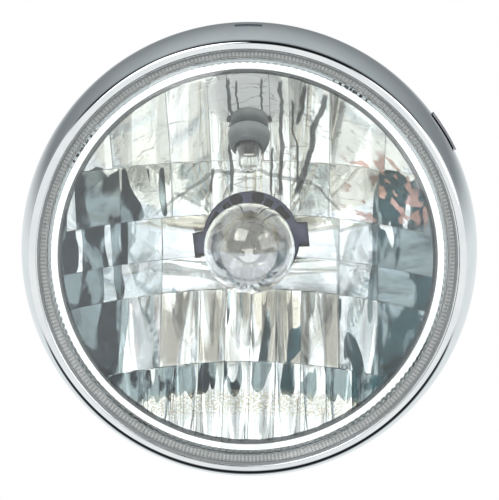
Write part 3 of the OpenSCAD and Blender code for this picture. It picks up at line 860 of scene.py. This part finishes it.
tungsten = plated("tungsten_wire", (120, 118, 112), (150, 148, 142), 0.35)
for name, forward in (("low_filament", GLOBE_Z + 3.4), ("high_filament", GLOBE_Z - 2.6)):
    points = coil(forward)
    wire = make_piece(name + "_coil", points, grid_faces(*points.shape[:2], wrap_columns=True))
    tungsten.on(wire)
    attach(wire, "root")
    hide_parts(name)
nickel.on(node["dip_shield"])


# Parking lamp
# Capless bulb in a grey rubber holder that is pushed through the bowl from behind, above the globe,
# and points forwards and down at right angles to the bowl.

BULB_R, BULB_L = 4.9, 26.0
BULB_WALL = 0.5
BULB_FOOT_Z, BULB_FLOOR_Z = 4.9, 6.6
NIB_R = 0.9
# Profile of the holder: its back, its neck in the bowl's wall and in front of it, its head and its pocket
HOLDER_BACK = [[0, -12], [6, -12], [6.2, -6.4], [8.8, -6.2], [8.4, -3.45]]
HOLDER_NECK = [[6.6, -3.45], [6.6, 0.05], [7.3, 0.05], [7.3, 5.6], [6.5, 6.2]]
HOLDER_HEAD = [[8.0, 7.0], [8.3, 7.8], [7.9, 10.4], [6.8, 13.8], [5.8, 14.2]]
HOLDER_POCKET = [[5.0, 13.8], [5.0, 4.8], [0, 4.8]]

profile = HOLDER_BACK + HOLDER_NECK + HOLDER_HEAD + HOLDER_POCKET
faces = grid_faces(96, len(profile), wrap_rows=True)
park_holder = make_piece("parking_rubber", lathe(profile, 96), faces, crease=40)
place_piece(park_holder, **PARK_PLACE)
grey = Finish("grey_rubber")
axis = (0.0, -math.cos(math.radians(PARK_TILT)), -math.sin(math.radians(PARK_TILT)))
foot = float(np.dot(axis, to_frame(0, PARK_Y, bowl_z(PARK_Y**2))))
values = {0: grey.spot(), 1: axis}
along = grey.add("ShaderNodeVectorMath", {"operation": "DOT_PRODUCT"}, values, output=1) - foot
# Painted shade: darker towards the front of the neck and of the head, along the holder's own axis
holder_shade = along.ramp(0.0008, 0.0052) * along.ramp(0.0066, 0.0060) + 0.75 * along.ramp(0.0082, 0.0125)
holder_shade = holder_shade.held()
grey.coat(
    Base_Color=grey.mix(holder_shade, colour(140, 146, 146), colour(48, 62, 66)),
    Roughness=0.42,
    Normal=grey.bump(grey.noise(700, 2), 0.00003, 0.4),
).on(park_holder)
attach(park_holder, "root")
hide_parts("parking_holder")


def small_bulb_points():
    """Closed profile of the small bulb, a solid foot, a thin tube and a round end, turned about its axis."""
    straight = BULB_L - BULB_R - 0.9
    profile = np.concatenate([
        [[0, BULB_FOOT_Z], [BULB_R - 0.3, BULB_FOOT_Z], [BULB_R, BULB_FOOT_Z + 0.4]],
        arc(0, straight, BULB_R, 0, 78, 16),
        [[NIB_R, straight + 4.95], [0.5, BULB_L - 0.1], [0, BULB_L]],
        arc(0, straight, BULB_R - BULB_WALL, 90, 0, 18),
        [[BULB_R - BULB_WALL, BULB_FLOOR_Z + 0.3], [BULB_R - 0.9, BULB_FLOOR_Z], [0, BULB_FLOOR_Z]],
    ])
    return lathe(profile, 96), len(profile)


points, around = small_bulb_points()
small_bulb = make_piece("parking_glass", points, grid_faces(96, around, True, False), crease=40)
place_piece(small_bulb, **PARK_PLACE)
bulb_glass.on(small_bulb)
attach(small_bulb, "root")
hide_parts("parking_bulb")
nickel.on(node["parking_filament"])


# Studio
# Plain studio with a pale floor, white surroundings and two soft lamps. Bare metal also sees dark zones
# round the camera, above and below, as it needs dark edges to show its form. Rays that come out through
# glass, such as the bowl's, see white alone.

CAMERA_UP, CAMERA_SIDE, CAMERA_FAR = 9.2, 1.8, 950.0
CAMERA_LENS = 180.1
AIM_SIDE, AIM_RISE = 0.9, 3.7
FLOOR_HALF, FLOOR_DROP = 600, 350


def light(red, green, blue):
    """Linear colour or light, as parts of full white."""
    return (red, green, blue, 1.0)


def backdrop():
    """White for the camera, one level for matt surfaces, dark zones for metal, and white for glass rays."""
    world = Finish("studio", bpy.context.scene.world or bpy.data.worlds.new("studio"))
    x, y, z = world.split(world.add("ShaderNodeTexCoord", output="Generated"))
    white = light(1.0, 1.0, 1.0)

    # Dark patch where the photographer stands, and dark zones above and below the lamp
    patch = ((x - 0.03) / 0.15) ** 2.0 + ((z + 0.16) / 0.13) ** 2.0
    photographer = patch.ramp(1.25, 0.75) * y.ramp(0.0, -0.2)
    edges = z.ramp(0.40, 0.55) * y.ramp(0.52, 0.44) + z.ramp(-0.42, -0.56) * y.ramp(0.80, 0.70)
    edges = edges * y.ramp(-0.93, -0.86)
    bright = 1.0 - photographer

    above = world.mix(z.ramp(0.15, 0.9), light(0.25, 0.27, 0.28), light(0.56, 0.60, 0.61))
    lit = world.mix(z.ramp(-0.14, 0.16), light(0.82, 0.86, 0.87), above)
    lit = world.mix(y.ramp(0.05, 0.35) * z.ramp(-0.80, -0.55), white, lit)
    dark = world.mix(y.ramp(-0.10, 0.20) * bright, light(0.012, 0.014, 0.016), light(0.17, 0.18, 0.19))
    for_metal = world.mix(bright * (1.0 - edges), dark, lit)
    tone = world.mix(world.ray("Is Transmission Ray"), for_metal, light(1.48, 1.50, 1.49))
    tone = world.mix(world.ray("Is Diffuse Ray"), tone, light(0.75, 0.75, 0.75))
    tone = world.mix(world.ray("Is Camera Ray"), tone, white)
    world.show(world.add("ShaderNodeBackground", values={"Color": tone, "Strength": 1.0}))
    bpy.context.scene.world = world.owner


backdrop()

flat = np.meshgrid([-FLOOR_HALF, FLOOR_HALF], [-FLOOR_DROP], [-FLOOR_HALF, FLOOR_HALF], indexing="ij")
floor = make_piece("floor", to_frame(*flat), np.array([[0, 1, 3, 2]]))
paper = Finish("floor_paper")
paper.coat(
    Base_Color=paper.mix(paper.noise(3), light(0.9, 0.9, 0.9), light(0.92, 0.92, 0.92)),
    Roughness=0.9,
).on(floor)
# The floor lets gloss and glass rays pass, so that it isn't mirrored in the chrome
passing = (paper.ray("Is Glossy Ray") + paper.ray("Is Transmission Ray")).held()
sheet = Field(paper, paper.out.inputs["Surface"].links[0].from_socket)
air = paper.add("ShaderNodeBsdfTransparent")
paper.show(paper.add("ShaderNodeMixShader", values={0: passing, 1: sheet, 2: air}))


def soft_lamp(name, place, size, power):
    """Square area lamp at a place in metres, turned towards the lamp's middle."""
    data = bpy.data.lights.new(name, "AREA")
    data.shape, data.size, data.energy = "SQUARE", size, power
    lamp = bpy.data.objects.new(name, data)
    lamp.location = place
    lamp.rotation_euler = (-lamp.location).to_track_quat("-Z", "Y").to_euler()
    bpy.context.scene.collection.objects.link(lamp)


soft_lamp("key_softbox", (-0.5, -1.0, 1.0), 0.8, 6.0)
soft_lamp("fill_softbox", (0.9, -0.8, 0.5), 0.8, 3.0)


def add_camera():
    """Long lens a little above the lamp's axis, aimed so that the rim sits as in the photo."""
    a, e = math.radians(CAMERA_SIDE), math.radians(CAMERA_UP)
    back = np.array([math.sin(a) * math.cos(e), -math.cos(a) * math.cos(e), math.sin(e)])
    side = np.array([math.cos(a), math.sin(a), 0.0])
    rise = np.cross(side, -back)
    front = np.array([0, -BEAD_Z, 0])
    spot = (front + back * CAMERA_FAR) * MM
    aim = (front + AIM_SIDE * side + AIM_RISE * rise) * MM
    data = bpy.data.cameras.new("camera")
    data.lens = CAMERA_LENS
    camera = bpy.data.objects.new("camera", data)
    bpy.context.scene.collection.objects.link(camera)
    camera.location = spot
    camera.rotation_euler = Vector(aim - spot).to_track_quat("-Z", "Y").to_euler()
    bpy.context.scene.camera = camera


add_camera()
scene = bpy.context.scene
scene.view_settings.view_transform = "Standard"
scene.cycles.max_bounces = 16
scene.cycles.glossy_bounces = 8
scene.cycles.transmission_bounces = 12
